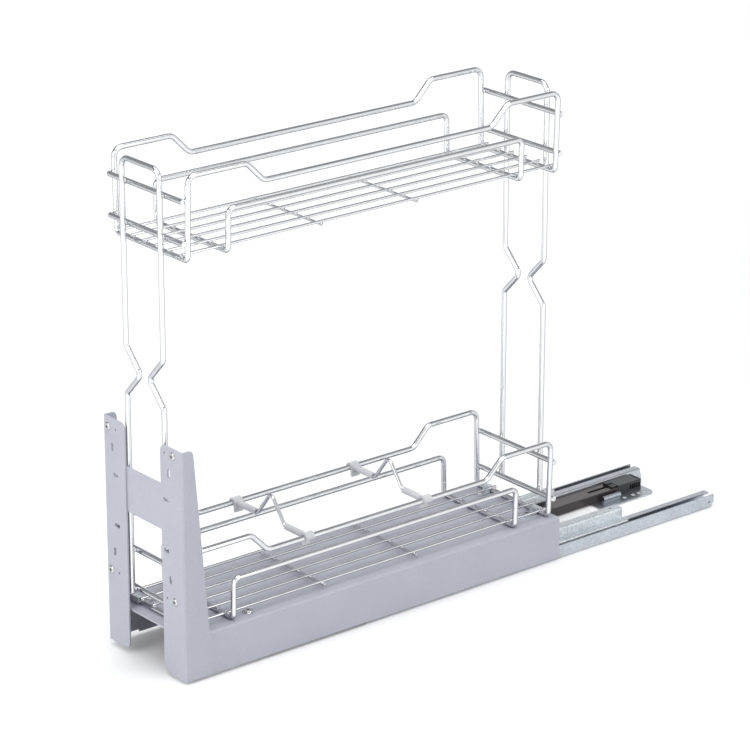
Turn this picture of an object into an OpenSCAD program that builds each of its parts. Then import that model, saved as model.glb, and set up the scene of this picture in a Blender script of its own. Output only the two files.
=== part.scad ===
// Narrow two-tier pull-out basket unit for a base cabinet. X runs across the cabinet, the front looks
// along -Y, and Z is up. The origin is on the cabinet floor, midway along and between the two runners.
// The unit is drawn partly pulled out.

/* [Setting] */
// How far the unit stands pulled out of the cabinet
pulled_out = 196; // [120:0.5:260]

/* [Base cover] */
// Width over the cover beam's sides
cover_w = 112; // [108:1:130]
// Height of the cover beam
cover_h = 40; // [40:0.5:52]
// Sheet thickness of the cover, the bracket and the runners
sheet_t = 1.5; // [1.2:0.1:1.6]
// Outer bend radius along the cover beam's top edges
cover_bend_r = 2; // [2:0.5:5]
// Cover beam behind the baskets' rear end wire
cover_tail = 9; // [6:1:20]
// Height of the cover beam's lower edge over the cabinet floor
floor_gap = 3; // [1:0.5:4]

/* [Baskets] */
// Basket length between the end wires
basket_len = 403; // [380:1:460]
// Width between the rim wires at the basket's bottom
basket_w = 100; // [94:1:100]
// Width between the rim wires at the top
basket_top_w = 104; // [100:1:108]
// Height of the raised rim ends over the bottom wires
rail_high = 72.5; // [64:0.5:90]
// Height of the dipped rim over the bottom wires
rail_low = 54.5; // [48:0.5:60]
// Length of each raised rim end
high_len = 59.5; // [45:0.5:80]
// Length of the slope between the raised end and the dipped rim
dip_len = 18; // [16:0.5:26]
// Thickness of the rim and rail wires
rim_wire_d = 5; // [4:0.5:5]
// Bend radius of the rim's upper corners
rim_bend_r = 8; // [6:0.5:12]
// Bend radius of the rim's and the inner rail loop's bottom corners
rim_foot_r = 4.5; // [4:0.5:8]
// Bend radius at the dip
dip_bend_r = 10; // [6:0.5:14]
// Distance of the inner rail loop from each end wire
inner_inset = 41; // [30:1:70]
// Height of the inner rail loop over the bottom wires
inner_h = 37; // [28:0.5:40]
// Bend radius of the inner rail loop's upper corners
loop_bend_r = 6; // [4:0.5:9]
// Height of the upper basket over the lower one
tier_gap = 330.5; // [280:0.5:400]

/* [Floor wires and bars] */
// Thickness of the thin floor wires
floor_wire_d = 2.6; // [2:0.1:3]
// Number of floor wires along each basket
floor_wire_n = 6; // [4:2:6]
// Distance between floor wires
floor_wire_pitch = 17.4; // [15:0.2:17.6]
// Places of the thin cross wires along the basket
cross_place_shares = [0.356, 0.615]; // [0.1:0.005:0.9]
// Length of the thin cross wires
cross_len = 94; // [88:1:94]
// Thickness of the end bars
bar_d = 5; // [4:0.5:5]
// Length of the end bars
bar_len = 104; // [103:1:112]
// Height of the lower end bar over the bottom wires
bar_low = 15.5; // [14:0.5:30]
// Height of the upper end bar over the bottom wires
bar_high = 51.5; // [46:0.5:60]

/* [Wire frames] */
// Thickness of the frame wire
leg_d = 5; // [5:0.5:6]
// Distance between the two legs of a frame
leg_span = 53; // [44:1:60]
// Height of the legs' feet over the lower basket's bottom wires
leg_foot = 12.5; // [6:0.5:13]
// Height of the frames' top over the upper basket's raised rim
leg_rise = 1; // [0:0.5:20]
// Height of the pinch over the feet
pinch_z = 205; // [160:1:240]
// Height of each half of the pinch
pinch_rise = 21.5; // [18:0.5:30]
// Distance between the legs at the pinch
pinch_gap = 11.8; // [9:0.2:20]
// Bend radius of the frame's top corners
leg_bend_r = 9; // [8:0.5:14]
// Bend radius at the pinch
pinch_bend_r = 6; // [5:0.5:9]

/* [Front bracket] */
// Height of the two posts
post_h = 209.5; // [200:0.5:260]
// How much higher the left post stands
left_post_rise = 2.3; // [0:0.1:3]
// Width of a post's face
post_face = 31.3; // [30:0.1:34]
// Depth of a post's side wing at its top
wing_top = 12.8; // [12:0.1:16]
// Depth of the wing where it meets the cover beam
wing_mid = 27.1; // [24:0.1:29]
// Depth of the wing beside the cover beam
wing_low = 31.1; // [30:0.1:40]
// Depth of the arm's upper edge below the right post's top
plate_drop = 36.5; // [30:0.5:38]
// Height of the right post's arm
plate_h = 41.5; // [34:0.5:42]
// Lap of the arm behind the left post's face
plate_lap = 25; // [22:0.5:27]
// Corner radius at a post's top
post_top_r = 6.5; // [3:0.5:8]
// Corner radius at a post's foot
post_foot_r = 8; // [3:0.5:9]
// Corner radius at the top of a side wing
wing_r = 4; // [2:0.5:6]

/* [Bracket holes] */
// How far the whole pattern of holes sits left of the middle
pattern_shift = 3.5; // [0:0.5:4]
// Spacing of the bright screws across the bracket
screw_span = 91.4; // [86:0.2:94]
// Spacing of the pilot holes across the bracket
pilot_span = 68.6; // [66:0.2:72]
// Depth of the upper screw and pilot hole below the right post's top
screw_drop = 6.7; // [6:0.1:12]
// Height of the lower screw and pilot hole over the right post's foot
screw_low = 70; // [66:0.5:76]
// Spacing of the upright slots across the bracket
upright_span = 79.4; // [77:0.2:82]
// Depth of the upper upright slot below the right post's top
upright_drop = 24; // [20:0.5:28]
// Height of the lower upright slot over the right post's foot
upright_low = 88.5; // [86:0.5:94]
// Spacing of the level slots across the bracket
level_span = 71; // [69:0.2:73]
// Depth of the upper level keyhole below the right post's top
level_drop = 49; // [46:0.5:52]
// Height of the lower level slot over the right post's foot
level_low = 114; // [110:0.5:116]
// Width of the slots
slot_w = 4; // [3:0.1:4.2]
// Length of the slots from end to end
slot_len = 8; // [7:0.1:9]
// Width of a keyhole's narrow end
key_w = 2; // [1.6:0.1:2.6]

/* [Dividers] */
// Distance of the front divider from the basket's front end wire
front_divider_y = 121; // [118:1:140]
// Distance of the rear divider from the basket's front end wire
rear_divider_y = 254; // [230:1:258]
// Thickness of the divider wire
divider_wire_d = 3.4; // [3:0.1:3.6]
// Length of a plastic sleeve, from the side rail inwards
sleeve_len = 30; // [26:0.5:32]
// Thickness of a plastic sleeve
sleeve_d = 6; // [5.6:0.1:7]
// Height of the divider's peak over the side rail
peak_h = 25; // [20:0.5:30]
// Width of the clip along the rail
clip_w = 9; // [7:0.5:12]

/* [Cabinet runners] */
// Length of the cabinet runner profiles
rail_len = 430; // [420:1:480]
// Height of the cabinet runner profiles
rail_h = 13; // [13:0.5:14]
// Width of a cabinet runner profile
rail_w = 15.2; // [15.2:0.1:16]
// Width of the lip over the balls
rail_lip = 8; // [7.6:0.1:8]
// How much shorter the left profile is at its rear
left_rail_short = 9; // [4:0.5:14]
// Distance of the outer floor screws from the profile's ends
rail_hole_inset = 25; // [20:1:40]
// Distance of the third floor screw before the rear one
rail_hole_step = 70; // [40:1:74]
// Radius of the floor screw holes
rail_hole_r = 2.2; // [1.8:0.1:2.4]

/* [Middle runners] */
// Length of the right middle profile
mid_len = 400; // [390:1:410]
// Front end of the middle profiles, behind the baskets' front end wire
mid_front = 105; // [95:1:110]
// How much further forward the left middle profile stands
left_mid_ahead = 20; // [10:1:24]
// Width of the middle profile's hat
hat_w = 10.6; // [10:0.1:11]
// Height of the middle profile over the cabinet profile
hat_h = 11; // [10.4:0.1:12]
// Radius of the hole near the hat's rear end
hat_hole_r = 1.6; // [1:0.1:2]
// Diameter of the balls
ball_d = 2.8; // [2.6:0.1:2.8]
// Number of balls in a row
ball_n = 8; // [5:1:9]
// Distance between the balls
ball_pitch = 24; // [18:1:24]
// Thickness of the ball cages
cage_t = 1.2; // [1:0.1:1.4]

/* [Drawer runners] */
// Front end of the drawer channels, behind the baskets' front end wire
channel_front = 30; // [24:1:36]
// Rear end of the drawer channels, before the cover beam's rear end
channel_back = 4; // [2:1:12]
// Place of the front hanger's screws behind the baskets' front end wire
front_hanger_y = 62; // [56:1:90]
// Place of the rear hanger before the baskets' rear end wire
rear_hanger_y = 40; // [30:1:60]
// Length of a hanger's top along the unit
hanger_len = 20; // [16:1:26]
// Length of a hanger's feet along the unit
hanger_foot = 8; // [6:1:12]

/* [Soft-close unit] */
// Length of the track
track_len = 117; // [100:1:120]
// Width of the track
track_w = 18; // [17:0.5:18]
// Distance of the track from the left runner's web
track_off = 0.3; // [0.3:0.1:1]
// Height of the track
track_h = 9; // [8:0.1:9.4]
// Length of the damper housing
housing_len = 30; // [28:1:34]
// Width of the damper housing
housing_w = 15.4; // [14:0.2:16]
// Height of the damper housing
housing_h = 10.5; // [10:0.1:11]
// Distance of the housing's rear end from the floor tab's rear edge
housing_back = 6; // [4:1:10]
// Travel of the catch
catch_travel = 25; // [18:1:25]

/* [Floor tab] */
// Length of the left runner's floor tab
tab_len = 72; // [66:1:80]
// Width of the floor tab
tab_w = 34; // [32:1:36]
// Distance of the floor tab from the right runner's rear end
tab_back = 19; // [14:1:22]

/* [Hidden] */

// Colours of the finishes
chrome = "Gainsboro";
powder = "#b9bcc8";
zinc = "#c3c8cb";
dark = "#3b3e44";
clear_grey = "#c9ccd2";
steel = "#dcdcdc";

// Clearances and overruns
weld_gap = 0.05;
fold_gap = 0.1;
run_gap = 0.3;
ball_gap = 0.05;
cage_gap = 0.15;
overrun = 1;

// How much thinner a wire is in its bends, and how far the straight wire reaches into them
bend_neck = 0.06;
bend_bite = 0.3;

// Roundness of wires, bores and bends
round_fn = 32;
bend_steps = 5;

// Heights over the cabinet floor
cover_top = floor_gap + cover_h;
lower_z = cover_top + rim_wire_d / 2 + weld_gap;
upper_z = lower_z + tier_gap;
foot_z = lower_z + leg_foot;
frame_top = upper_z + rail_high + leg_rise;

// Places along the unit, from the baskets' front end wire
bar_y = -(rim_wire_d + bar_d) / 2 - weld_gap;
leg_y = bar_y - (bar_d + leg_d) / 2 - weld_gap;
plate_back_y = leg_y - leg_d / 2 - weld_gap;
face_back_y = plate_back_y - sheet_t;
face_y = face_back_y - sheet_t;
cover_end_y = basket_len + cover_tail;
bend_in = cover_bend_r - sheet_t;
unit_y = -rail_len / 2 - run_gap - pulled_out - plate_back_y - bend_in;

// Heights of the bracket's holes and arm over the right post's foot
plate_z = post_h - plate_drop - plate_h;
screw_high = post_h - screw_drop;
upright_high = post_h - upright_drop;
level_high = post_h - level_drop;

// Half widths
half_w = cover_w / 2;
inner_half = half_w - sheet_t;
face_inner = half_w - post_face;

// Cross section of the runners on the right side, from the cover's inner side inwards
web_x = inner_half - run_gap - sheet_t / 2;
heel_x = web_x - rail_w + sheet_t;
lip_x = heel_x - sheet_t / 2 + rail_lip;
raceway = ball_d + 2 * ball_gap;
foot_bottom = sheet_t + raceway + sheet_t / 2;
foot_top = rail_h - sheet_t - raceway - sheet_t / 2;
foot_x = heel_x + sheet_t + cage_t + 2 * cage_gap;
riser_x = lip_x + 2 * sheet_t - sheet_t / 6;
fold_r = sheet_t * 0.8;
hat_low = rail_h + run_gap + sheet_t / 2 + fold_gap;
hat_top = rail_h + hat_h - sheet_t / 2;
hat_x = heel_x + sheet_t * 0.75;
hat_in_x = hat_x - hat_w + sheet_t;
hat_skirt = hat_low + sheet_t + fold_gap;
channel_top = hat_top + sheet_t + raceway;
channel_x = hat_x + sheet_t + raceway;
channel_in_x = hat_in_x - sheet_t - raceway;
upper_row_z = (hat_low + hat_top) / 2;

// Places of the screws on the cover beam
cover_screw_x = (channel_x + hat_x) / 2;
clamp_x = floor_wire_pitch * 1.9;
clamp_t = sheet_t * 2 / 3;
clamp_w = floor_wire_pitch * 0.6;
clamp_foot = rim_wire_d * 2.2;
clamp_r = (rim_wire_d + clamp_t) / 2 + weld_gap;

// Screws
screw_d = 4;
head_d = 7.4;
head_h = 1.4;
recess_w = 3;
cross_w = 1;
flange_d = 11;
flange_h = 0.8;
screw_run = 6;
pilot_r = 1.2;

// Tongue of a post behind the cover's side
tongue_len = 35;
tongue_lap = 9;
tongue_gap = 1.5;

// Divider and clip
rail_half = basket_w / 2 + (basket_top_w - basket_w) / 2 * rail_low / rail_high;
clip_t = 2;
clip_gap = 0.1;
tongue_h = 8;
tongue_t = 2.2;
divider_bend_r = 5;
sleeve_gap = 0.03;

// Soft-close unit and floor tab, from the left runner's inner web
track_x = -heel_x + sheet_t / 2 + track_off;
track_end = rail_len / 2 - tab_back - housing_len - housing_back;
housing_x = track_x + (track_w - housing_w) / 2 + sheet_t / 2;
rod_x = housing_x + housing_w / 2;
rod_d = 2.5;
rod_z = sheet_t + track_h * 0.7;
catch_neck = 3;
catch_w = 13;
catch_len = 7;
catch_h = 1.2;
knob_w = 5.5;
knob_h = 0.8;
groove_gap = 0.25;
housing_rim = 1.4;
tab_hole_r = 2.3;
tab_hole_edge = 8.3;
tab_hole_start = 38;
tab_hole_step = 11.5;
tab_hole_pitch = 7.7;
tab_r = 8;
ear_z = 4;
tube_r = 2.6;
tube_bore = 1.9;
tube_rise = 1;
tube_len = 22;
tube_gap = 0.5;
tube_start = 12.5;

// Direction of a heading in a plane
function dir(a) = [cos(a), sin(a)];
// Heading from one point to the next
function heading(a, b) = atan2(b.y - a.y, b.x - a.x);
// Signed turn of a path at point i
function turn_at(p, i) =
  let (t = heading(p[i], p[i + 1]) - heading(p[i - 1], p[i])) t > 180 ? t - 360 : t < -180 ? t + 360 : t;
// Points at distance d left of a bent path, with bends of radius r
function beside(p, d, r) = concat(
  [p[0] + d * dir(heading(p[0], p[1]) + 90)],
  [for (i = [1 : len(p) - 2])
    let (
      t = turn_at(p, i),
      h = heading(p[i - 1], p[i]),
      s = sign(t),
      c = p[i] - r * tan(abs(t) / 2) * dir(h) + s * r * dir(h + 90)
    )
    for (k = [0 : bend_steps]) c - s * (r - s * d) * dir(h + t * k / bend_steps + 90)],
  [p[len(p) - 1] + d * dir(heading(p[len(p) - 2], p[len(p) - 1]) + 90)]
);
function reversed(v) = [for (i = [len(v) - 1 : -1 : 0]) v[i]];
function unit(v) = v / norm(v);
// Half width of the flared basket at a height over its bottom wires
function flare(h) = (basket_w + (basket_top_w - basket_w) * h / rail_high) / 2;

// A folded sheet seen along its length
module fold(p, t = sheet_t, r = fold_r) {
  polygon(concat(beside(p, t / 2, r), reversed(beside(p, -t / 2, r))));
}

// Turns a section drawn as width and height into a profile running from y0 to y1
module along_y(y0, y1) {
  translate([0, y1, 0]) rotate([90, 0, 0]) linear_extrude(y1 - y0) children();
}

// Mirrors a right-hand piece to the left
module flip(left) {
  mirror([left ? 1 : 0, 0, 0]) children();
}

// Places what belongs to the pull-out unit
module on_unit() {
  translate([0, unit_y, 0]) children();
}

// A straight round wire from a to b
module rod(a, b, d) {
  u = unit(b - a);
  x = unit(cross(abs(u.z) < 0.9 ? [0, 0, 1] : [1, 0, 0], u));
  y = cross(u, x);
  multmatrix([[x.x, y.x, u.x, a.x], [x.y, y.y, u.y, a.y], [x.z, y.z, u.z, a.z]])
    cylinder(d = d, h = norm(b - a), $fn = round_fn);
}

// A round bend at p between the wire directions u and v, drawn out a hair thinner as bent wire is
module elbow(p, u, v, d, r) {
  n = unit(cross(u, v));
  a = acos(u * v);
  w = cross(n, u);
  c = p - r * tan(a / 2) * u + r * w;
  multmatrix([[-w.x, u.x, n.x, c.x], [-w.y, u.y, n.y, c.y], [-w.z, u.z, n.z, c.z]])
    rotate_extrude(angle = a, $fn = round_fn) translate([r, 0]) circle(d = d - bend_neck, $fn = round_fn);
}

// Distance from a corner to where its bend of radius r starts
function tangent(a, p, b, r) = r * tan(acos(unit(p - a) * unit(b - p)) / 2);

// A bent wire along the points p, with the bend radii r, closed into a loop or open
module wire(p, r, d, closed = false) {
  n = len(p);
  for (i = [0 : closed ? n - 1 : n - 2]) {
    a = p[i];
    b = p[(i + 1) % n];
    u = unit(b - a);
    bent_a = closed || i > 0;
    bent_b = closed || i < n - 2;
    cut_a = bent_a ? tangent(p[(i + n - 1) % n], a, b, r[i]) : 0;
    cut_b = bent_b ? tangent(a, b, p[(i + 2) % n], r[(i + 1) % n]) : 0;
    rod(a + max(0, cut_a - bend_bite) * u, b - max(0, cut_b - bend_bite) * u, d);
    if (bent_b) elbow(b, u, unit(p[(i + 2) % n] - b), d, r[(i + 1) % n]);
  }
}

// A slot seen from the front and cut through both sheets of the bracket
module slot_cut(x, z, long, wide, upright = false) {
  run = (long - wide) / 2;
  for (s = [-1, 1])
    translate([x + (upright ? 0 : s * run), face_y - overrun, z + (upright ? s * run : 0)])
      rotate([-90, 0, 0]) cylinder(d = wide, h = 2 * sheet_t + 2 * overrun, $fn = round_fn);
  translate([x - (upright ? wide / 2 : run), face_y - overrun, z - (upright ? run : wide / 2)])
    cube([upright ? wide : 2 * run, 2 * sheet_t + 2 * overrun, upright ? 2 * run : wide]);
}

// A keyhole: a round end on side s and a narrow slot away from it
module keyhole_cut(x, z, s) {
  deep = 2 * sheet_t + 2 * overrun;
  round_x = (slot_len - slot_w) / 2;
  narrow_x = (slot_len - key_w) / 2;
  translate([x, face_y - overrun, z]) mirror([s < 0 ? 1 : 0, 0, 0]) {
    translate([round_x, 0, 0]) rotate([-90, 0, 0]) cylinder(d = slot_w, h = deep, $fn = round_fn);
    translate([-narrow_x, 0, 0]) rotate([-90, 0, 0]) cylinder(d = key_w, h = deep, $fn = round_fn);
    translate([-narrow_x, 0, -key_w / 2]) cube([narrow_x + round_x, deep, key_w]);
  }
}

// A round hole through both sheets of the bracket
module face_hole(x, z, r) {
  translate([x, face_y - overrun, z])
    rotate([-90, 0, 0]) cylinder(r = r, h = 2 * sheet_t + 2 * overrun, $fn = round_fn);
}

// What a rounded corner takes away, drawn at the corner with its arc towards -X and -Y
module corner_cut(r) {
  difference() {
    translate([-r, -r]) square(r + overrun);
    translate([-r, -r]) circle(r, $fn = 2 * round_fn);
  }
}

// A screw with a low round head, its head's underside at z = 0 and its shank below
module screw(run) {
  difference() {
    union() {
      cylinder(d1 = head_d, d2 = head_d * 0.85, h = head_h, $fn = round_fn);
      translate([0, 0, -run]) cylinder(d = screw_d, h = run + head_h / 2, $fn = round_fn);
    }
    for (a = [0, 90])
      rotate([0, 0, a]) translate([-recess_w / 2, -cross_w / 2, head_h * 0.4])
        cube([recess_w, cross_w, head_h]);
  }
}

// The rim: a loop that runs up the corners, along the raised ends and down into the dips
module rim(z) {
  y_dip = [high_len, high_len + dip_len, basket_len - high_len - dip_len, basket_len - high_len];
  side = [
    [flare(0), 0, 0], [flare(rail_high), 0, rail_high],
    [flare(rail_high), y_dip[0], rail_high], [flare(rail_low), y_dip[1], rail_low],
    [flare(rail_low), y_dip[2], rail_low], [flare(rail_high), y_dip[3], rail_high],
    [flare(rail_high), basket_len, rail_high], [flare(0), basket_len, 0]
  ];
  radii = [rim_foot_r, rim_bend_r, dip_bend_r, dip_bend_r, dip_bend_r, dip_bend_r, rim_bend_r, rim_foot_r];
  other = reversed([for (p = side) [-p.x, p.y, p.z]]);
  on_unit() translate([0, 0, z]) wire(concat(side, other), concat(radii, reversed(radii)), rim_wire_d, true);
}

// The inner rail loop: a lower guard rail on both sides with its own cross wires
module rail_loop(z) {
  ends = [inner_inset, basket_len - inner_inset];
  side = [
    [flare(0), ends[0], 0], [flare(inner_h), ends[0], inner_h],
    [flare(inner_h), ends[1], inner_h], [flare(0), ends[1], 0]
  ];
  radii = [rim_foot_r, loop_bend_r, loop_bend_r, rim_foot_r];
  other = reversed([for (p = side) [-p.x, p.y, p.z]]);
  on_unit() translate([0, 0, z]) wire(concat(side, other), concat(radii, radii), rim_wire_d, true);
}

// Height of the floor wires over the bottom wires
floor_rise = (rim_wire_d + floor_wire_d) / 2 + weld_gap;

module floor_wires(z) {
  on_unit() for (i = [0 : floor_wire_n - 1]) {
    x = (i - (floor_wire_n - 1) / 2) * floor_wire_pitch;
    rod([x, -rim_wire_d / 2, z + floor_rise], [x, basket_len + rim_wire_d / 2, z + floor_rise], floor_wire_d);
  }
}

module cross_wires(z) {
  level = z + floor_rise - floor_wire_d - weld_gap;
  on_unit() for (s = cross_place_shares)
    rod([-cross_len / 2, s * basket_len, level], [cross_len / 2, s * basket_len, level], floor_wire_d);
}

module end_bars(z) {
  on_unit() for (y = [bar_y, basket_len - bar_y], h = [bar_low, bar_high])
    rod([-bar_len / 2, y, z + h], [bar_len / 2, y, z + h], bar_d);
}

// A wire frame: an inverted U whose legs pinch together half way up
module frame(y) {
  half = leg_span / 2;
  pinch = foot_z + pinch_z;
  side = [
    [half, y, foot_z], [half, y, pinch - pinch_rise], [pinch_gap / 2, y, pinch],
    [half, y, pinch + pinch_rise], [half, y, frame_top]
  ];
  other = reversed([for (p = side) [-p.x, p.y, p.z]]);
  radii = [0, pinch_bend_r, pinch_bend_r, pinch_bend_r, leg_bend_r];
  on_unit() wire(concat(side, other), concat(radii, reversed(radii)), leg_d);
}

// The divider's wire: straight in the sleeves, with a peak between them
module divider_wire(y) {
  z = lower_z + rail_low;
  reach = rail_half - sleeve_len;
  inside = rail_half - rim_wire_d / 2 - clip_t - clip_gap * 2;
  on_unit() wire(
    [[-inside, y, z], [-reach + divider_bend_r / 2, y, z], [0, y, z + peak_h],
      [reach - divider_bend_r / 2, y, z], [inside, y, z]],
    [0, divider_bend_r, divider_bend_r, divider_bend_r, 0], divider_wire_d);
}

// The plastic sleeves with their clips round the side rails and the tongues below
module divider_clips(y) {
  z = lower_z + rail_low;
  bore = rim_wire_d / 2 + clip_gap;
  shell = bore + clip_t;
  color(clear_grey) on_unit() for (side = [0, 1]) mirror([side, 0, 0])
    difference() {
      union() {
        translate([rail_half, y + clip_w / 2, z]) rotate([90, 0, 0])
          cylinder(r = shell, h = clip_w, $fn = round_fn);
        translate([rail_half - sleeve_len, y, z]) rotate([0, 90, 0])
          cylinder(d = sleeve_d, h = sleeve_len - bore, $fn = round_fn);
        translate([rail_half - shell, y - clip_w / 2, z - tongue_h]) cube([tongue_t, clip_w, tongue_h]);
      }
      translate([rail_half, y + clip_w / 2 + overrun, z]) rotate([90, 0, 0])
        cylinder(r = bore, h = clip_w + 2 * overrun, $fn = round_fn);
      translate([rail_half - sleeve_len - overrun, y, z]) rotate([0, 90, 0])
        cylinder(r = divider_wire_d / 2 + sleeve_gap, h = sleeve_len + overrun - shell + clip_gap, $fn = round_fn);
      translate([rail_half - bore * 0.8, y - clip_w / 2 - overrun, z - shell - overrun])
        cube([shell + bore, clip_w + 2 * overrun, shell + overrun - bore * 0.3]);
    }
}

// A post of the front bracket: a face with slots, a side wing that widens downwards and a tongue
// behind the cover's side. The right post has an arm that runs on to behind the left post's face.
// The left post stands a little higher, and its holes stay level with the right post's.
module post(left) {
  front = left ? face_y : face_back_y;
  shift = left ? pattern_shift : -pattern_shift;
  rise = left ? left_post_rise : 0;
  top = post_h + rise;
  step_z = cover_h - cover_bend_r - fold_gap;
  wing_end = face_y + wing_low;
  tongue_z = rail_h - floor_gap + tongue_gap;
  color(powder) on_unit() flip(left) translate([0, 0, floor_gap]) {
    difference() {
      union() {
        translate([0, 0, rise]) linear_extrude(post_h)
          fold([[face_inner, front + sheet_t / 2], [half_w - sheet_t / 2, front + sheet_t / 2],
            [half_w - sheet_t / 2, wing_end]], sheet_t, cover_bend_r - sheet_t / 2);
        if (!left)
          translate([-face_inner - plate_lap, front, plate_z])
            cube([2 * face_inner + plate_lap + post_top_r, sheet_t, plate_h]);
      }
      translate([inner_half - overrun, 0, 0]) rotate([90, 0, 90]) linear_extrude(sheet_t + 2 * overrun) {
        polygon([
          [face_y + wing_mid, step_z], [wing_end + overrun, step_z],
          [wing_end + overrun, top + overrun], [face_y + wing_top, top + overrun],
          [face_y + wing_top, top]
        ]);
        translate([face_y + wing_top, top]) corner_cut(wing_r);
      }
      translate([face_inner, front + sheet_t + overrun, top]) rotate([90, 0, 0])
        linear_extrude(sheet_t + 2 * overrun) mirror([1, 0]) corner_cut(post_top_r);
      translate([face_inner, front + sheet_t + overrun, rise]) rotate([90, 0, 0])
        linear_extrude(sheet_t + 2 * overrun) mirror([1, 0]) mirror([0, 1]) corner_cut(post_foot_r);
      for (z = [screw_low, screw_high]) {
        face_hole(screw_span / 2 + shift, z, screw_d / 2 + fold_gap);
        face_hole(pilot_span / 2 + shift, z, pilot_r);
      }
      for (z = [upright_low, upright_high])
        slot_cut(upright_span / 2 + shift, z, slot_len, slot_w * 0.8, true);
      slot_cut(level_span / 2 + shift, level_low, slot_len, slot_w);
      keyhole_cut(level_span / 2 + shift, level_high, left ? 1 : -1);
      if (!left) face_hole(-level_span / 2 + shift, level_high, slot_len / 2 + run_gap);
    }
    translate([inner_half - sheet_t, wing_end - tongue_lap, tongue_z])
      cube([sheet_t, tongue_lap + tongue_len, step_z - tongue_gap - tongue_z]);
  }
}

module post_screws() {
  color(steel) on_unit() for (s = [-1, 1], z = [screw_low, screw_high])
    translate([s * screw_span / 2 - pattern_shift, s < 0 ? face_y : face_back_y, floor_gap + z])
      rotate([90, 0, 0]) screw(screw_run);
}

// The cover beam: a folded channel, open below, whose sides stop at the bracket's wings
module base_cover() {
  color(powder) on_unit() difference() {
    along_y(plate_back_y + fold_gap, cover_end_y)
      fold([[-half_w + sheet_t / 2, floor_gap], [-half_w + sheet_t / 2, cover_top - sheet_t / 2],
        [half_w - sheet_t / 2, cover_top - sheet_t / 2], [half_w - sheet_t / 2, floor_gap]],
        sheet_t, cover_bend_r - sheet_t / 2);
    for (side = [0, 1]) mirror([side, 0, 0]) {
      translate([inner_half - fold_gap, face_y, 0])
        cube([sheet_t + overrun, wing_low + fold_gap, cover_top - cover_bend_r]);
      translate([inner_half - fold_gap, face_y, 0])
        cube([sheet_t + overrun, wing_mid + fold_gap, cover_top + overrun]);
      translate([inner_half - bend_in - fold_gap, face_y, 0])
        cube([sheet_t + bend_in + overrun, plate_back_y - face_y + bend_in + fold_gap, cover_top + overrun]);
      translate([cover_screw_x, front_hanger_y, cover_top - sheet_t - overrun])
        cylinder(d = screw_d + 2 * fold_gap, h = sheet_t + 2 * overrun, $fn = round_fn);
      for (y = [clamp_foot, basket_len - clamp_foot])
        translate([clamp_x, y, cover_top - sheet_t - overrun])
          cylinder(d = screw_d + 2 * fold_gap, h = sheet_t + 2 * overrun, $fn = round_fn);
    }
  }
}

// Screws with a wide flange under the head
module cover_screws() {
  color(steel) on_unit() for (s = [-1, 1])
    translate([s * cover_screw_x, front_hanger_y, cover_top]) {
      cylinder(d = flange_d, h = flange_h, $fn = 2 * round_fn);
      translate([0, 0, flange_h]) screw(screw_run);
    }
}

// Clamps: strips folded over the end wires, each screwed down on the inner side
module basket_clamps() {
  color(zinc) on_unit() for (s = [-1, 1], far = [0, 1])
    translate([s * clamp_x - clamp_w / 2, far * basket_len, 0]) mirror([0, far, 0])
      difference() {
        rotate([90, 0, 90]) linear_extrude(clamp_w)
          fold([[clamp_foot * 1.5, cover_top + clamp_t / 2], [clamp_r, cover_top + clamp_t / 2],
            [clamp_r, lower_z + clamp_r], [-clamp_r, lower_z + clamp_r], [-clamp_r, cover_top + clamp_t]],
            clamp_t, clamp_t);
        translate([clamp_w / 2, clamp_foot, cover_top - overrun])
          cylinder(d = screw_d + 2 * fold_gap, h = clamp_t + 2 * overrun, $fn = round_fn);
      }
}

module clamp_screws() {
  color(steel) on_unit() for (s = [-1, 1], y = [clamp_foot, basket_len - clamp_foot])
    translate([s * clamp_x, y, cover_top + clamp_t]) screw(screw_run);
}

// A hanger: a hat-shaped cross member between the drawer channels and the cover beam
module hanger(y, screwed) {
  low = channel_top + sheet_t / 2;
  top = cover_top - sheet_t;
  half = hanger_len / 2;
  reach = channel_x + sheet_t / 2;
  color(zinc) on_unit() difference() {
    translate([-reach, y, 0]) rotate([90, 0, 90]) linear_extrude(2 * reach)
      fold([[-half - hanger_foot, low + sheet_t / 2], [-half, low + sheet_t / 2], [-half, top - sheet_t / 2],
        [half, top - sheet_t / 2], [half, low + sheet_t / 2], [half + hanger_foot, low + sheet_t / 2]]);
    if (screwed) for (s = [-1, 1])
      translate([s * cover_screw_x, y, top - sheet_t - overrun])
        cylinder(d = screw_d + 2 * fold_gap, h = sheet_t + 2 * overrun, $fn = round_fn);
  }
}

// A drawer channel: an inverted U that runs over the middle profile's hat
module drawer_channel(left) {
  color(zinc) on_unit() flip(left) along_y(channel_front, cover_end_y - channel_back)
    fold([[channel_in_x, hat_low + fold_gap], [channel_in_x, channel_top], [channel_x, channel_top],
      [channel_x, hat_low + 2 * sheet_t]]);
}

// A middle profile: a folded foot between the lower balls, a riser through the slot and a hat on top
module middle_runner(left) {
  front = mid_front - (left ? left_mid_ahead : 0);
  color(zinc) on_unit() flip(left) difference() {
    along_y(front, front + mid_len)
      fold([[riser_x + sheet_t / 2, foot_bottom], [foot_x, foot_bottom], [foot_x, foot_top],
        [riser_x, foot_top], [riser_x, hat_low], [hat_x, hat_low], [hat_x, hat_top],
        [hat_in_x, hat_top], [hat_in_x, hat_skirt]]);
    translate([(hat_x + hat_in_x) / 2, front + mid_len - hat_w, hat_top - sheet_t])
      cylinder(r = hat_hole_r, h = 2 * sheet_t, $fn = round_fn);
  }
}

// Places of the balls in one row, centred on y
function row_y(y) = [for (i = [0 : ball_n - 1]) y + (i - (ball_n - 1) / 2) * ball_pitch];

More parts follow.
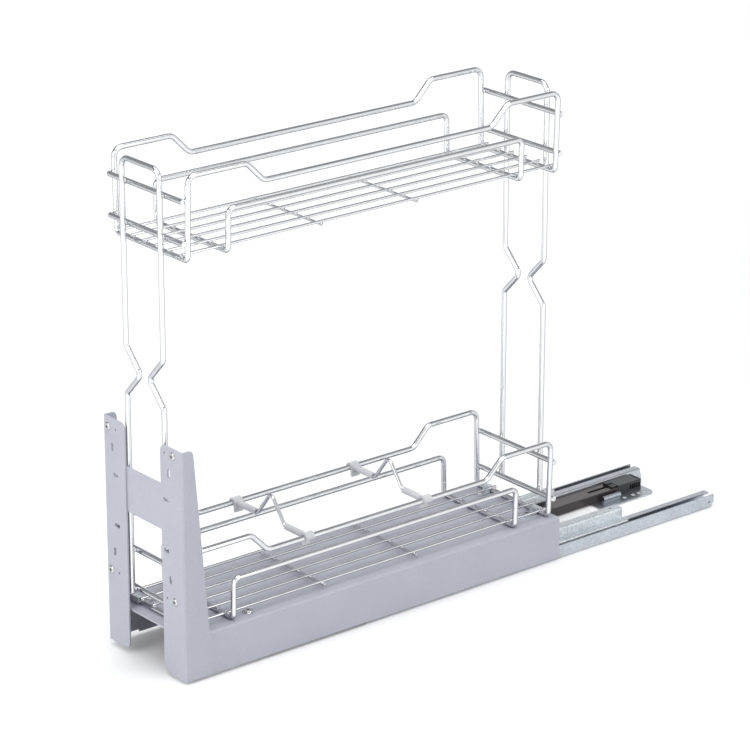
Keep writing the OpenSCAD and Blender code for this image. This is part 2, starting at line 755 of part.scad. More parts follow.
// Ball rows of the upper and the lower raceways as width and height
upper_rows = [
  [(channel_in_x + hat_in_x) / 2, upper_row_z], [(hat_in_x + hat_x) / 2, (hat_top + channel_top) / 2],
  [(channel_x + hat_x) / 2, upper_row_z]
];
lower_rows = [
  [(foot_x + riser_x) / 2, (sheet_t / 2 + foot_bottom) / 2],
  [(foot_x + lip_x) / 2, (rail_h - sheet_t / 2 + foot_top) / 2]
];

// Middles of the cages along the unit
upper_cage_y = (mid_front + cover_end_y - channel_back) / 2;
lower_cage_y = mid_front + mid_len / 2 + (rail_len / 2 - unit_y - mid_front - mid_len) / 2 - ball_pitch;

module balls(rows, y, left) {
  color(steel) on_unit() flip(left) for (row = rows, place = row_y(y))
    translate([row.x, place, row.y]) sphere(d = ball_d, $fn = round_fn);
}

// A cage: a bent plastic strip with a round pocket for each ball
module cage(path, rows, y, left) {
  half = ball_n * ball_pitch / 2;
  color(dark) on_unit() flip(left) difference() {
    along_y(y - half, y + half) fold(path, cage_t, cage_t * 0.8);
    for (row = rows, place = row_y(y))
      translate([row.x, place, row.y]) sphere(d = ball_d + 2 * fold_gap, $fn = round_fn);
  }
}

module upper_cage(left) {
  cage([[upper_rows[0].x, hat_skirt + sheet_t], [upper_rows[0].x, upper_rows[1].y],
    [upper_rows[2].x, upper_rows[1].y], [upper_rows[2].x, hat_skirt + sheet_t]], upper_rows, upper_cage_y, left);
}

module lower_cage(left) {
  inner = heel_x + sheet_t / 2 + cage_gap + cage_t / 2;
  cage([[riser_x - cage_t, lower_rows[0].y], [inner, lower_rows[0].y], [inner, lower_rows[1].y],
    [lip_x - fold_gap, lower_rows[1].y]], lower_rows, lower_cage_y, left);
}

// A cabinet profile: outer web, floor, inner web and a lip over the lower balls. The right one's outer
// web is cut off at a slant at its rear end, the left one has a rounded ear across its end.
module cabinet_runner(left) {
  rear = rail_len / 2 - (left ? left_rail_short : 0);
  hole_y = rail_len / 2 - rail_hole_inset;
  color(zinc) {
    flip(left) difference() {
      union() {
        along_y(-rail_len / 2, rear)
          fold([[web_x, rail_h], [web_x, sheet_t / 2], [heel_x, sheet_t / 2], [heel_x, rail_h - sheet_t / 2],
            [lip_x, rail_h - sheet_t / 2]]);
        if (left) along_y(rear, rear + sheet_t) {
          translate([heel_x - sheet_t / 2, 0]) square([rail_w, ear_z]);
          intersection() {
            translate([(heel_x + web_x) / 2, ear_z]) circle(d = rail_w, $fn = 2 * round_fn);
            translate([heel_x - sheet_t / 2, 0]) square(rail_w);
          }
        }
      }
      for (y = [-hole_y, hole_y - rail_hole_step, hole_y])
        translate([riser_x, y, -overrun])
          cylinder(r = rail_hole_r, h = sheet_t + 2 * overrun, $fn = round_fn);
      translate([web_x - sheet_t, rear - rail_h / 2, rail_h / 2]) rotate([0, 90, 0])
        cylinder(r = pilot_r, h = 2 * sheet_t, $fn = round_fn);
      if (!left) translate([web_x - sheet_t, 0, 0]) rotate([90, 0, 90]) linear_extrude(2 * sheet_t + overrun)
        polygon([[rear + overrun, -overrun], [rear + overrun, rail_h / 2],
          [rear - rail_h / 2 - overrun, -overrun]]);
    }
    if (left) floor_tab();
  }
}

// The left profile's floor tab with its holes and the rolled tube beside the soft-close unit
module floor_tab() {
  start = rail_len / 2 - tab_back - tab_len;
  tube_x = track_x + track_w + tube_gap + tube_r;
  tube_z = sheet_t + tube_r + tube_rise;
  hole_x = tab_w - heel_x - tab_hole_edge;
  difference() {
    union() {
      translate([-heel_x, start, 0]) cube([tab_w, tab_len, sheet_t]);
      translate([tube_x - tube_r / 2, start + tube_start, sheet_t / 2])
        cube([tube_r, tube_len, tube_z - sheet_t / 2]);
      translate([tube_x, start + tube_start, tube_z]) rotate([-90, 0, 0])
        cylinder(r = tube_r, h = tube_len, $fn = round_fn);
    }
    translate([tube_x, start + tube_start - overrun, tube_z]) rotate([-90, 0, 0])
      cylinder(r = tube_bore, h = tube_len * 0.8, $fn = round_fn);
    for (y = [0, tab_hole_step, tab_hole_step + tab_hole_pitch, tab_hole_step + 2 * tab_hole_pitch])
      translate([hole_x, start + tab_hole_start + y, -overrun])
        cylinder(r = tab_hole_r, h = sheet_t + 2 * overrun, $fn = round_fn);
    translate([tab_w - heel_x, start + tab_len, -overrun])
      linear_extrude(sheet_t + 2 * overrun) corner_cut(tab_r);
  }
}

// The soft-close track: a long strip with a groove for the catch
module closer_track() {
  groove = catch_travel + catch_len + 3 * groove_gap;
  color(dark) difference() {
    translate([track_x, track_end - track_len, sheet_t]) cube([track_w, track_len, track_h]);
    translate([rod_x - catch_neck / 2 - groove_gap, track_end - groove, sheet_t + track_h / 3])
      cube([catch_neck + 2 * groove_gap, groove + overrun, track_h]);
  }
}

// The damper housing with a slit across its rear end and a pocket in its side
module closer_housing() {
  front = track_end + run_gap;
  rear = front + housing_len;
  color(dark) difference() {
    translate([housing_x, front, sheet_t]) cube([housing_w, housing_len, housing_h]);
    translate([rod_x, track_end, rod_z]) rotate([-90, 0, 0])
      cylinder(d = rod_d + 2 * fold_gap, h = housing_len - sheet_t, $fn = round_fn);
    translate([housing_x + housing_rim, rear - 2 * housing_rim, sheet_t + housing_h - housing_rim])
      cube([housing_w - 2 * housing_rim, housing_rim, housing_rim + overrun]);
    translate([housing_x + housing_w - housing_rim, rear - housing_len / 2, sheet_t + 2 * housing_rim])
      cube([housing_rim + overrun, housing_len / 2 - housing_rim, housing_h - 4 * housing_rim]);
  }
}

// The catch: a neck in the groove under a wide head with a knob, and the damper's rod behind it. It is
// parked against the housing.
module closer_catch() {
  rear = track_end - groove_gap;
  base = sheet_t + track_h / 3 + groove_gap;
  head = sheet_t + track_h + groove_gap;
  color("#26282c") {
    translate([rod_x - catch_neck / 2, rear - catch_len, base])
      cube([catch_neck, catch_len, head - base + catch_h / 2]);
    translate([rod_x - catch_w / 2, rear - catch_len, head]) cube([catch_w, catch_len, catch_h]);
    translate([rod_x - catch_w / 2, rear - catch_len, head]) cube([knob_w, catch_len, catch_h + knob_h]);
    translate([rod_x, rear - sheet_t, rod_z]) rotate([-90, 0, 0])
      cylinder(d = rod_d, h = housing_len - sheet_t, $fn = round_fn);
  }
}

color(chrome) rim(upper_z);  // upper_rim
color(chrome) rail_loop(upper_z);  // upper_rail_loop
color(chrome) floor_wires(upper_z);  // upper_floor_wires
color(chrome) cross_wires(upper_z);  // upper_cross_wires
color(chrome) end_bars(upper_z);  // upper_end_bars
color(chrome) rim(lower_z);  // lower_rim
color(chrome) rail_loop(lower_z);  // lower_rail_loop
color(chrome) floor_wires(lower_z);  // lower_floor_wires
color(chrome) cross_wires(lower_z);  // lower_cross_wires
color(chrome) end_bars(lower_z);  // lower_end_bars
color(chrome) frame(leg_y);  // front_frame
color(chrome) frame(basket_len - leg_y);  // rear_frame
color(chrome) divider_wire(front_divider_y);  // front_divider_wire
divider_clips(front_divider_y);  // front_divider_clips
color(chrome) divider_wire(rear_divider_y);  // rear_divider_wire
divider_clips(rear_divider_y);  // rear_divider_clips
post(true);  // left_post
post(false);  // right_post
post_screws();
base_cover();
cover_screws();
basket_clamps();
clamp_screws();
hanger(front_hanger_y, true);  // front_hanger
hanger(basket_len - rear_hanger_y, false);  // rear_hanger
drawer_channel(true);  // left_drawer_channel
drawer_channel(false);  // right_drawer_channel
middle_runner(true);  // left_middle_runner
middle_runner(false);  // right_middle_runner
upper_cage(true);  // left_upper_cage
upper_cage(false);  // right_upper_cage
balls(upper_rows, upper_cage_y, true);  // left_upper_balls
balls(upper_rows, upper_cage_y, false);  // right_upper_balls
lower_cage(true);  // left_lower_cage
lower_cage(false);  // right_lower_cage
balls(lower_rows, lower_cage_y, true);  // left_lower_balls
balls(lower_rows, lower_cage_y, false);  // right_lower_balls
cabinet_runner(true);  // left_cabinet_runner
cabinet_runner(false);  // right_cabinet_runner
closer_track();
closer_housing();
closer_catch();
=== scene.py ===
import bpy, bmesh, math, random
from mathutils import Matrix, Vector


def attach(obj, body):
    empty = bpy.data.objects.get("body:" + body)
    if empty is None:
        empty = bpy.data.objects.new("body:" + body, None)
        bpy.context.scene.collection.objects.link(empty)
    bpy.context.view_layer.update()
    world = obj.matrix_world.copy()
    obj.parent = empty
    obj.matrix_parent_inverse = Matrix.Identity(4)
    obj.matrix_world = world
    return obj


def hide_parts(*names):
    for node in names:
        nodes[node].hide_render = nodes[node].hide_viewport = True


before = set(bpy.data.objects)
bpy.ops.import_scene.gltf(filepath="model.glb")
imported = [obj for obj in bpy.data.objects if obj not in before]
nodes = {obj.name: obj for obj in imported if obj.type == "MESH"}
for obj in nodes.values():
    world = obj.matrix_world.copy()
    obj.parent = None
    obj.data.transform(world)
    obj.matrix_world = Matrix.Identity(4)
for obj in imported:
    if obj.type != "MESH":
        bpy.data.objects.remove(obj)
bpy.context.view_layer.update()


# The cabinet runners are U-shaped rails of galvanised steel sheet, screwed to the cabinet floor.
# Their zinc coat is smooth and grey, with faint flakes, fine drawing lines along the rail and
# small rub marks.
def bare_finish(name, metallic):
    mat = bpy.data.materials.new(name)
    mat.use_nodes = True
    tree = mat.node_tree
    shader = tree.nodes["Principled BSDF"]
    shader.inputs["Metallic"].default_value = metallic
    place = tree.nodes.new("ShaderNodeTexCoord").outputs["Object"]
    return mat, tree, shader, place


def cloudy(tree, place, scale, detail):
    noise = tree.nodes.new("ShaderNodeTexNoise")
    noise.inputs["Scale"].default_value = scale
    noise.inputs["Detail"].default_value = detail
    tree.links.new(place, noise.inputs["Vector"])
    return noise.outputs["Fac"]


def blended(tree, share, first, second):
    mix = tree.nodes.new("ShaderNodeMix")
    mix.data_type = "FLOAT"
    mix.inputs["Factor"].default_value = share
    tree.links.new(first, mix.inputs["A"])
    tree.links.new(second, mix.inputs["B"])
    return mix.outputs["Result"]


def tinted(colour, shares):
    return tuple(part * share for part, share in zip(colour, shares))


def shades(tree, value, first, last, *between):
    ramp = tree.nodes.new("ShaderNodeValToRGB")
    marks = ramp.color_ramp.elements
    for mark, (position, colour) in ((marks[0], first), (marks[1], last)):
        mark.position = position
        mark.color = (*colour, 1)
    for position, colour in between:
        marks.new(position).color = (*colour, 1)
    tree.links.new(value, ramp.inputs["Fac"])
    return ramp.outputs["Color"]


def spread(tree, value, low, high, start=0.0, stop=1.0):
    span = tree.nodes.new("ShaderNodeMapRange")
    span.inputs["From Min"].default_value = start
    span.inputs["From Max"].default_value = stop
    span.inputs["To Min"].default_value = low
    span.inputs["To Max"].default_value = high
    tree.links.new(value, span.inputs["Value"])
    return span.outputs["Result"]


def relief(tree, shader, height, strength, depth):
    bump = tree.nodes.new("ShaderNodeBump")
    bump.inputs["Strength"].default_value = strength
    bump.inputs["Distance"].default_value = depth
    tree.links.new(height, bump.inputs["Height"])
    tree.links.new(bump.outputs["Normal"], shader.inputs["Normal"])


def galvanised(name, tint, flake_share, smooth, dull):
    flake_scale, rub_scale, speck_scale = 620.0, 38.0, 950.0
    line_stretch = (900.0, 14.0, 900.0)
    mat, tree, shader, place = bare_finish(name, metallic=1.0)
    flakes = tree.nodes.new("ShaderNodeTexVoronoi")
    flakes.inputs["Scale"].default_value = flake_scale
    tree.links.new(place, flakes.inputs["Vector"])
    grey = tree.nodes.new("ShaderNodeSeparateColor")
    tree.links.new(flakes.outputs["Color"], grey.inputs["Color"])
    rubs = cloudy(tree, place, rub_scale, detail=4.0)
    specks = cloudy(tree, place, speck_scale, detail=3.0)
    spangle = blended(tree, flake_share, rubs, grey.outputs["Red"])
    dusted = blended(tree, 0.5, spangle, specks)
    dark, light = tinted(tint, (0.74, 0.75, 0.76)), tinted(tint, (1.08, 1.08, 1.08))
    colour = shades(tree, dusted, (0.34, dark), (0.64, light))
    tree.links.new(colour, shader.inputs["Base Color"])
    tree.links.new(spread(tree, rubs, smooth, dull), shader.inputs["Roughness"])
    stretch = tree.nodes.new("ShaderNodeMapping")
    stretch.inputs["Scale"].default_value = line_stretch
    tree.links.new(place, stretch.inputs["Vector"])
    lines = cloudy(tree, stretch.outputs["Vector"], 1.0, detail=3.0)
    relief(tree, shader, lines, strength=0.12, depth=0.0002)
    return mat


def dress(mat, *names):
    for name in names:
        slots = nodes[name].data.materials
        slots.clear()
        slots.append(mat)


runner_zinc = galvanised("runner_zinc", (0.56, 0.59, 0.63), flake_share=0.30, smooth=0.3, dull=0.46)
dress(runner_zinc, "left_cabinet_runner", "right_cabinet_runner")

# The middle runners carry the drawer runners past the cabinet runners' front ends. They are rolled
# from brighter zinc-coated strip, and their hat-shaped tops show behind the cover.
middle_zinc = galvanised("middle_zinc", (0.76, 0.80, 0.82), flake_share=0.42, smooth=0.4, dull=0.6)
dress(middle_zinc, "left_middle_runner", "right_middle_runner")

# The drawer runners and the two hangers that join them to the cover are folded from the same
# galvanised sheet as the cabinet runners. They are hidden inside the cover, which is screwed down
# to the front hanger.
dress(runner_zinc, "left_drawer_channel", "right_drawer_channel", "front_hanger", "rear_hanger")


# The ball cages are strips of black moulded plastic with a pocket for each ball, and they roll
# along between the runners at their own pace.
def moulded(name, base, smooth, dull):
    grain_scale, patch_scale = 900.0, 45.0
    mat, tree, shader, place = bare_finish(name, metallic=0.0)
    patches = cloudy(tree, place, patch_scale, detail=3.0)
    dark = tinted(base, (0.88, 0.88, 0.88))
    colour = shades(tree, patches, (0.3, dark), (0.7, base))
    tree.links.new(colour, shader.inputs["Base Color"])
    tree.links.new(spread(tree, patches, smooth, dull), shader.inputs["Roughness"])
    grain = cloudy(tree, place, grain_scale, detail=2.0)
    relief(tree, shader, grain, strength=0.15, depth=0.0001)
    return mat


cage_black = moulded("cage_black", (0.02, 0.02, 0.022), smooth=0.35, dull=0.5)
dress(cage_black, "left_upper_cage", "right_upper_cage", "left_lower_cage", "right_lower_cage")


# The balls are polished steel and run between the runners. Like the screws and the chromed wires,
# they mirror the studio with slightly cloudy patches. Their colour is painted greyer where the
# surface turns away from the camera, as a painted shade along their edges.
def plated(name, base, edge, smooth, dull, wave=0.0):
    haze_scale = 120.0
    face_end, edge_start = 0.12, 0.64
    mat, tree, shader, place = bare_finish(name, metallic=1.0)
    haze = cloudy(tree, place, haze_scale, detail=3.0)
    clouded = tinted(base, (0.93, 0.93, 0.93))
    middle = shades(tree, haze, (0.3, clouded), (0.7, base))
    # The edge argument is the grey the colour is painted towards where the surface turns away: a
    # painted shade.
    turn = tree.nodes.new("ShaderNodeLayerWeight").outputs["Facing"]
    painted_edge_share = spread(tree, turn, 0.0, 1.0, start=face_end, stop=edge_start)
    painted_edge_share.node.interpolation_type = "SMOOTHSTEP"
    painted_edge_mix = tree.nodes.new("ShaderNodeMix")
    painted_edge_mix.data_type = "RGBA"
    share, face_colour, painted_edge_shade_colour, mixed = (
        painted_edge_mix.inputs[0], painted_edge_mix.inputs[6], painted_edge_mix.inputs[7], painted_edge_mix.outputs[2])
    painted_edge_shade_colour.default_value = (*edge, 1)
    tree.links.new(painted_edge_share, share)
    tree.links.new(middle, face_colour)
    tree.links.new(mixed, shader.inputs["Base Color"])
    tree.links.new(spread(tree, haze, smooth, dull), shader.inputs["Roughness"])
    if wave:
        relief(tree, shader, haze, strength=wave, depth=0.0003)
    return mat


ball_steel = plated("ball_steel", (0.62, 0.62, 0.63), (0.45, 0.45, 0.46), smooth=0.05, dull=0.12)
dress(ball_steel, "left_upper_balls", "right_upper_balls", "left_lower_balls", "right_lower_balls")

# The soft-close unit beside the left runner is moulded plastic: a long track with a groove, a
# damper housing behind it, and a black catch that slides in the groove.
track_plastic = moulded("track_plastic", (0.036, 0.028, 0.028), smooth=0.14, dull=0.26)
housing_plastic = moulded("housing_plastic", (0.026, 0.036, 0.044), smooth=0.3, dull=0.42)
catch_plastic = moulded("catch_plastic", (0.012, 0.012, 0.014), smooth=0.3, dull=0.45)
dress(track_plastic, "closer_track")
dress(housing_plastic, "closer_housing")
dress(catch_plastic, "closer_catch")


# Four thin stiffening ribs of black plastic are moulded across the pocket in the side of the damper
# housing. Their edges are softly rounded.
def finish_mesh(name, mesh, mats, body, node):
    crease = math.radians(42)
    piece = bpy.data.objects.new(name, bpy.data.meshes.new(name))
    for face in mesh.faces:
        face.smooth = True
    mesh.to_mesh(piece.data)
    mesh.free()
    piece.data.set_sharp_from_angle(angle=crease)
    for mat in mats:
        piece.data.materials.append(mat)
    bpy.context.collection.objects.link(piece)
    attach(piece, body)
    if node:
        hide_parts(node)


def round_over(mesh, edges, width):
    bmesh.ops.bevel(mesh, geom=edges, offset=width, segments=2, profile=0.5,
                    affect="EDGES", material=-1)


rib_size = (0.0013, 0.0009, 0.0049)
rib_x, rib_z = -0.0220, 0.00675
ribs = bmesh.new()
for rib_y in (0.1778, 0.1806, 0.1834, 0.1862):
    rib = bmesh.ops.create_cube(ribs, size=1.0)["verts"]
    bmesh.ops.scale(ribs, verts=rib, vec=rib_size)
    bmesh.ops.translate(ribs, verts=rib, vec=(rib_x, rib_y, rib_z))
    round_over(ribs, [edge for edge in ribs.edges if edge.verts[0] in rib], width=0.00018)
finish_mesh("housing_ribs", ribs, (catch_plastic,), "cabinet_side", None)

# A thin rounded lip, in one piece with the track and of the same plastic, runs along the track's
# upper edge up to the damper housing.
lip_radius, lip_length = 0.0005, 0.1145
lip_start = (-0.0207, 0.0445, 0.0100)
lip = bmesh.new()
lip_end = bmesh.ops.create_circle(lip, cap_ends=True, segments=16, radius=lip_radius)["verts"]
bmesh.ops.rotate(lip, verts=lip_end, matrix=Matrix.Rotation(math.pi / 2, 3, "X"))
bmesh.ops.translate(lip, verts=lip_end, vec=lip_start)
drawn = bmesh.ops.extrude_face_region(lip, geom=lip.faces[:])["geom"]
far_end = [part for part in drawn if isinstance(part, bmesh.types.BMVert)]
bmesh.ops.translate(lip, verts=far_end, vec=(0, lip_length, 0))
end_edges = [edge for edge in lip.edges
             if abs(edge.verts[0].co.y - edge.verts[1].co.y) < lip_radius]
round_over(lip, end_edges, width=0.0002)
bmesh.ops.recalc_face_normals(lip, faces=lip.faces)
finish_mesh("track_lip", lip, (track_plastic,), "cabinet_side", None)


# The cover beam and the two front posts are folded from steel sheet and powder coated in a light
# bluish grey, which has a fine even grain and a soft sheen.
def powder_coat(name, base):
    grain_scale, patch_scale, grain_share = 800.0, 22.0, 0.6
    mat, tree, shader, place = bare_finish(name, metallic=0.0)
    grain = cloudy(tree, place, grain_scale, detail=2.0)
    patches = cloudy(tree, place, patch_scale, detail=4.0)
    mottle = blended(tree, grain_share, patches, grain)
    dark, light = tinted(base, (0.89, 0.89, 0.90)), tinted(base, (1.06, 1.06, 1.06))
    colour = shades(tree, mottle, (0.3, dark), (0.7, light))
    tree.links.new(colour, shader.inputs["Base Color"])
    tree.links.new(spread(tree, patches, 0.36, 0.5), shader.inputs["Roughness"])
    relief(tree, shader, grain, strength=0.25, depth=0.0001)
    return mat


powder = powder_coat("powder", (0.46, 0.475, 0.53))
dress(powder, "base_cover", "left_post", "right_post")


# The screws are bright zinc-plated, with low domed heads, a cross recess and a rolled thread; the
# inside of the recess is painted dark as shade. Four are in the posts and four in the clamps. The
# two on the cover have a wide flange under the head.
def screw(at, axis, flanged):
    length, sides = 0.006, 48
    pitch, thread_steps, root, crest = 0.0004, 13, 0.00165, 0.0020
    tip = [(0.0, -length), (0.0011, 0.0002 - length)]
    thread = [(crest if step % 2 else root, -pitch * (step + 1)) for step in range(thread_steps)]
    flange = [(0.0055, 0.0), (0.0055, 0.0005), (0.0052, 0.0008), (0.0039, 0.0008)]
    rim = flange if flanged else [(0.0037, 0.0)]
    lift = flange[-1][1] if flanged else 0.0
    dome = [(0.00368, lift + 0.0004), (0.0035, lift + 0.0009),
            (0.0029, lift + 0.0013), (0.0020, lift + 0.00138)]
    profile = tip + thread[::-1] + [(crest, 0.0)] + rim + dome
    mesh = bmesh.new()
    chain = [mesh.verts.new((radius, 0, level)) for radius, level in profile]
    line = [mesh.edges.new(pair) for pair in zip(chain, chain[1:])]
    bmesh.ops.spin(mesh, geom=chain + line, cent=(0, 0, 0), axis=(0, 0, 1), angle=math.tau,
                   steps=sides, use_merge=True)
    bmesh.ops.remove_doubles(mesh, verts=mesh.verts, dist=0.00001)
    recess_steps = ((1.0, 0.00132), (0.82, 0.0008), (0.55, 0.0005))
    core, arm, arm_sharpness = 0.0007, 0.0011, 10
    mouth = [edge for edge in mesh.edges if edge.is_boundary]
    for share, level in recess_steps:
        bottom = (share, level) == recess_steps[-1]
        ring = bmesh.ops.create_circle(mesh, cap_ends=bottom, segments=sides, radius=1.0)["verts"]
        for vert in ring:
            cross = max(abs(vert.co.x), abs(vert.co.y)) ** arm_sharpness
            vert.co *= share * (core + arm * cross)
            vert.co.z = lift + level
        members = set(ring)
        loop = [edge for edge in mesh.edges if members.issuperset(edge.verts)]
        wall = bmesh.ops.bridge_loops(mesh, edges=mouth + loop)["faces"]
        for face in wall + [face for vert in ring for face in vert.link_faces]:
            # Below its mouth the recess takes the second material, a dark painted shade.
            face.material_index = 0 if share == 1.0 else 1
        mouth = loop
    turn = Vector((0, 0, 1)).rotation_difference(Vector(axis)).to_matrix()
    bmesh.ops.rotate(mesh, verts=mesh.verts, matrix=turn)
    bmesh.ops.translate(mesh, verts=mesh.verts, vec=at)
    bmesh.ops.recalc_face_normals(mesh, faces=mesh.faces)
    return mesh


screw_zinc = plated("screw_zinc", (0.74, 0.74, 0.75), (0.42, 0.43, 0.45), smooth=0.16, dull=0.28)
recess_painted_shade = plated("recess_painted_shade", (0.10, 0.10, 0.11), (0.2, 0.2, 0.2), smooth=0.3, dull=0.4)
unit_y = -0.39915
forwards, upwards = (0, -1, 0), (0, 0, 1)
post_x_y, post_z = ((-0.0492, -0.01565), (0.0422, -0.01415)), (0.073, 0.2058)
cover_x, cover_y, cover_z = 0.043075, 0.062, 0.043
clamp_x, clamp_y, clamp_z = 0.03306, (0.011, 0.392), 0.044
fixings = {
    "post_screws": [((x, unit_y + y, z), forwards, False) for x, y in post_x_y for z in post_z],
    "cover_screws": [((x, unit_y + cover_y, cover_z), upwards, True) for x in (-cover_x, cover_x)],
    "clamp_screws": [((x, unit_y + y, clamp_z), upwards, False)
                     for x in (-clamp_x, clamp_x) for y in clamp_y],
}
for name, places in fixings.items():
    together = bmesh.new()
    for at, axis, flanged in places:
        single = screw(at, axis, flanged)
        carrier = bpy.data.meshes.new("single_screw")
        single.to_mesh(carrier)
        single.free()
        together.from_mesh(carrier)
        bpy.data.meshes.remove(carrier)
    finish_mesh("detailed_" + name, together, (screw_zinc, recess_painted_shade), "pull_out", name)

# The clamps are folded strips of zinc-plated steel. They grip the lower basket's end wires and are
# screwed down to the top of the cover.
dress(middle_zinc, "basket_clamps")

# The baskets, the two carrying frames and the dividers are steel wire, bent, spot welded and then
# chrome plated. The drawn wire under the plating leaves a very soft waviness.
# The second colour is the painted shade that the wires turn to along their sides, facing away from
# the camera.
chrome = plated("chrome", (0.89, 0.895, 0.90), (0.36, 0.375, 0.41), smooth=0.03, dull=0.09,
                wave=0.05)
for tier in ("upper", "lower"):
    for part in ("rim", "rail_loop", "floor_wires", "cross_wires", "end_bars"):
        dress(chrome, f"{tier}_{part}")
dress(chrome, "front_frame", "rear_frame", "front_divider_wire", "rear_divider_wire")

# Every crossing is resistance welded, so a small uneven bead of steel, plated over with the rest,
# shows on both sides of each touching pair of wires.
draw = random.Random(7)
floor_x = [(k - 2.5) * 0.0174 for k in range(6)]
crossing_y = (0.0, 0.041, 0.14347, 0.24785, 0.362, 0.403)
floor_bead, floor_rise = (0.0017, 0.0021, 0.0011), 0.0025
end_bead, leg_x = (0.0026, 0.0013, 0.0026), 0.0265
end_bars = ((0.0155, 0.05043), (0.0515, 0.05142))
for tier, floor_z in (("upper", 0.37605), ("lower", 0.04555)):
    beads = [((x, y, floor_z + floor_rise), floor_bead) for x in floor_x for y in crossing_y]
    for bar_y, leg_offset in ((-0.0025, -0.005075), (0.4055, 0.005075)):
        for bar_z, corner_x in end_bars:
            for x in (-corner_x, corner_x):
                beads.append(((x, bar_y, floor_z + bar_z), end_bead))
            for x in (-leg_x, leg_x):
                beads.append(((x, bar_y + leg_offset, floor_z + bar_z), end_bead))
    mesh = bmesh.new()
    for (x, y, z), (wide, deep, high) in beads:
        bead = bmesh.ops.create_icosphere(mesh, subdivisions=2, radius=1.0)["verts"]
        for vert in bead:
            swell = 1.0 + draw.uniform(-0.10, 0.10)
            vert.co = Vector((x + vert.co.x * wide * swell, unit_y + y + vert.co.y * deep * swell,
                              z + vert.co.z * high * swell))
    finish_mesh(f"{tier}_weld_beads", mesh, (chrome,), "pull_out", None)

# The dividers' sleeves and clips are moulded in a light grey plastic, and snap round the side rails
# of the lower basket.
sleeve_plastic = moulded("sleeve_plastic", (0.60, 0.605, 0.63), smooth=0.25, dull=0.38)
dress(sleeve_plastic, "front_divider_clips", "rear_divider_clips")


# The studio table is wide, matt and white. Its own glow, which only the camera, glossy and clear
# surfaces see, is cut back in an oval under the object, so the floor there is darker: partly the
# real soft shadow, partly a painted shadow.
def seen_rays(tree):
    path = tree.nodes.new("ShaderNodeLightPath")
    either = tree.nodes.new("ShaderNodeMath")
    either.operation = "MAXIMUM"
    tree.links.new(path.outputs["Is Camera Ray"], either.inputs[0])
    tree.links.new(path.outputs["Is Glossy Ray"], either.inputs[1])
    every = tree.nodes.new("ShaderNodeMath")
    every.operation = "MAXIMUM"
    tree.links.new(either.outputs["Value"], every.inputs[0])
    tree.links.new(path.outputs["Is Transmission Ray"], every.inputs[1])
    return every.outputs["Value"]


def even_grey(level):
    return (level, level, level)


table_half = 6.0
oval_centre, oval_shape = (0.0, 0.035, 0.0), (1.0, 0.20, 1.0)
table = bmesh.new()
bmesh.ops.create_grid(table, x_segments=1, y_segments=1, size=table_half)
studio_floor = bpy.data.objects.new("studio_floor", bpy.data.meshes.new("studio_floor"))
table.to_mesh(studio_floor.data)
table.free()
bpy.context.collection.objects.link(studio_floor)
table_white, tree, shader, place = bare_finish("studio_white", metallic=0.0)
shader.inputs["Base Color"].default_value = (0.80, 0.80, 0.80, 1)
shader.inputs["Roughness"].default_value = 0.9
shader.inputs["Specular IOR Level"].default_value = 0.0
shader.inputs["Emission Color"].default_value = (1, 1, 1, 1)
oval = tree.nodes.new("ShaderNodeMapping")
oval.inputs["Location"].default_value = oval_centre
oval.inputs["Scale"].default_value = oval_shape
tree.links.new(place, oval.inputs["Vector"])
reach = tree.nodes.new("ShaderNodeVectorMath")
reach.operation = "LENGTH"
tree.links.new(oval.outputs["Vector"], reach.inputs[0])
# Low glow near the object's foot is a painted shadow; further out it rises to keep the far floor
# white.
glow_with_painted_shadow = shades(tree, reach.outputs["Value"], (0.035, even_grey(0.0)), (1.0, even_grey(0.40)),
              (0.065, even_grey(0.20)), (0.20, even_grey(0.15)),
              (0.50, even_grey(0.22)), (0.80, even_grey(0.38)))
glow = tree.nodes.new("ShaderNodeMath")
glow.operation = "MULTIPLY"
tree.links.new(seen_rays(tree), glow.inputs[0])
tree.links.new(glow_with_painted_shadow, glow.inputs[1])
tree.links.new(glow.outputs["Value"], shader.inputs["Emission Strength"])
studio_floor.data.materials.append(table_white)

# The studio's walls are white low down, and darker higher up and towards the object's left front.
# The chrome mirrors them as grey lines, and its own colour is also painted greyer at its edges.
# Matt surfaces get an even light from all round.
dark_side = (-0.775, -0.632, 0.0)
world = bpy.data.worlds.new("studio_world")
bpy.context.scene.world = world
world.use_nodes = True
tree = world.node_tree
room_light = tree.nodes["Background"]
room_light.inputs["Color"].default_value = (0.86, 0.87, 0.89, 1)
room_light.inputs["Strength"].default_value = 0.75
way = tree.nodes.new("ShaderNodeTexCoord").outputs["Generated"]
parts = tree.nodes.new("ShaderNodeSeparateXYZ")
tree.links.new(way, parts.inputs[0])
wall_colour = shades(tree, parts.outputs["Z"], (0.38, even_grey(1.0)), (0.88, (0.14, 0.145, 0.155)),
                     (0.66, (0.58, 0.59, 0.62)))
towards = tree.nodes.new("ShaderNodeVectorMath")
towards.operation = "DOT_PRODUCT"
towards.inputs[1].default_value = dark_side
tree.links.new(way, towards.inputs[0])
side = spread(tree, towards.outputs["Value"], 1.0, 0.48, start=0.30, stop=0.80)
above_table = spread(tree, parts.outputs["Z"], 0.0, 1.0, start=0.0, stop=0.18)
wall = tree.nodes.new("ShaderNodeMix")
wall.data_type = "FLOAT"
wall.inputs["A"].default_value = 1.0
tree.links.new(above_table, wall.inputs["Factor"])
tree.links.new(side, wall.inputs["B"])
seen = tree.nodes.new("ShaderNodeBackground")
tree.links.new(wall_colour, seen.inputs["Color"])
tree.links.new(wall.outputs["Result"], seen.inputs["Strength"])
choose = tree.nodes.new("ShaderNodeMixShader")
tree.links.new(seen_rays(tree), choose.inputs["Fac"])
tree.links.new(room_light.outputs["Background"], choose.inputs[1])
tree.links.new(seen.outputs["Background"], choose.inputs[2])
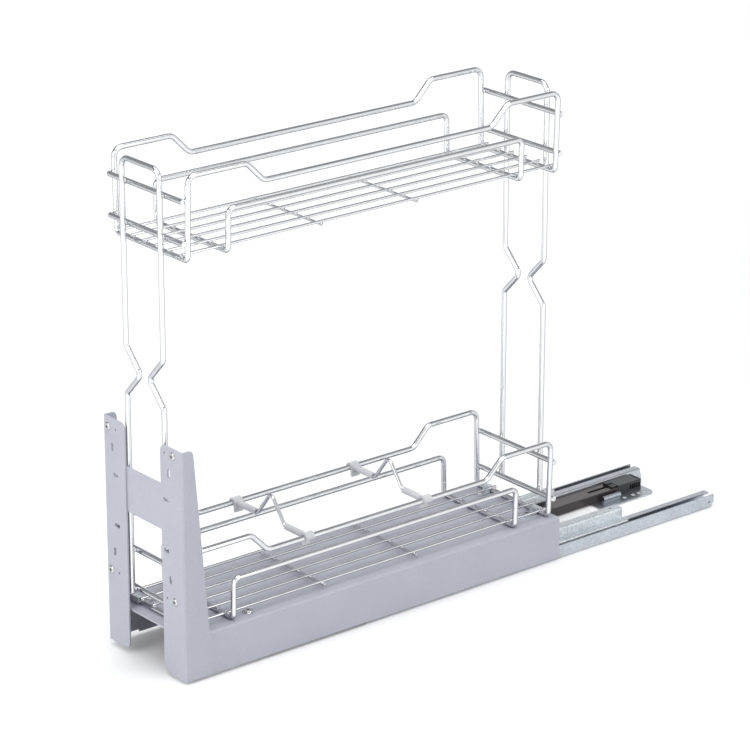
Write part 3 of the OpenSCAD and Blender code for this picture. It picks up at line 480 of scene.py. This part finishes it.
tree.links.new(choose.outputs["Shader"], tree.nodes["World Output"].inputs["Surface"])


# Three large soft lamps light the object: one above it, one well in front of it, and a weaker one
# at its right that brightens the side of the cover.
def soft_lamp(name, at, aim, size, watts):
    lamp = bpy.data.lights.new(name, "AREA")
    lamp.shape = "RECTANGLE"
    lamp.size, lamp.size_y = size
    lamp.energy = watts
    holder = bpy.data.objects.new(name, lamp)
    bpy.context.collection.objects.link(holder)
    holder.location = at
    holder.rotation_mode = "QUATERNION"
    holder.rotation_quaternion = (Vector(aim) - Vector(at)).to_track_quat("-Z", "Y")


soft_lamp("top_lamp", at=(0.2, -0.3, 1.8), aim=(0, -0.1, 0.2), size=(1.6, 1.6), watts=16)
soft_lamp("front_lamp", at=(0.1, -2.2, 1.2), aim=(0, -0.2, 0.2), size=(1.2, 1.2), watts=17)
soft_lamp("side_lamp", at=(2.2, 0.6, 1.0), aim=(0, 0, 0.2), size=(1.0, 1.4), watts=8)

# The camera looks from the right front and a little down. Its angles, its place and its focal
# length, which is in the picture's own pixels, were fitted to the photograph.
film_width, picture_width, focal_length = 36.0, 750, 3339.24
azimuth, elevation, roll = math.radians(50.79), math.radians(20.32), math.radians(0.07)
camera_place = (2.14921, -1.91470, 1.23444)
camera_data = bpy.data.cameras.new("camera")
camera = bpy.data.objects.new("camera", camera_data)
bpy.context.collection.objects.link(camera)
bpy.context.scene.camera = camera
camera_data.sensor_width = film_width
camera_data.lens = film_width * focal_length / picture_width
camera_data.clip_start, camera_data.clip_end = 0.1, 50
back = Vector((math.sin(azimuth) * math.cos(elevation), -math.cos(azimuth) * math.cos(elevation),
               math.sin(elevation)))
across = Vector((math.cos(azimuth), math.sin(azimuth), 0))
upright = back.cross(across)
right = across * math.cos(roll) + upright * math.sin(roll)
up = upright * math.cos(roll) - across * math.sin(roll)
aimed = Matrix((right, up, back)).transposed().to_4x4()
camera.matrix_world = Matrix.Translation(camera_place) @ aimed

bpy.context.scene.view_settings.view_transform = "Standard"
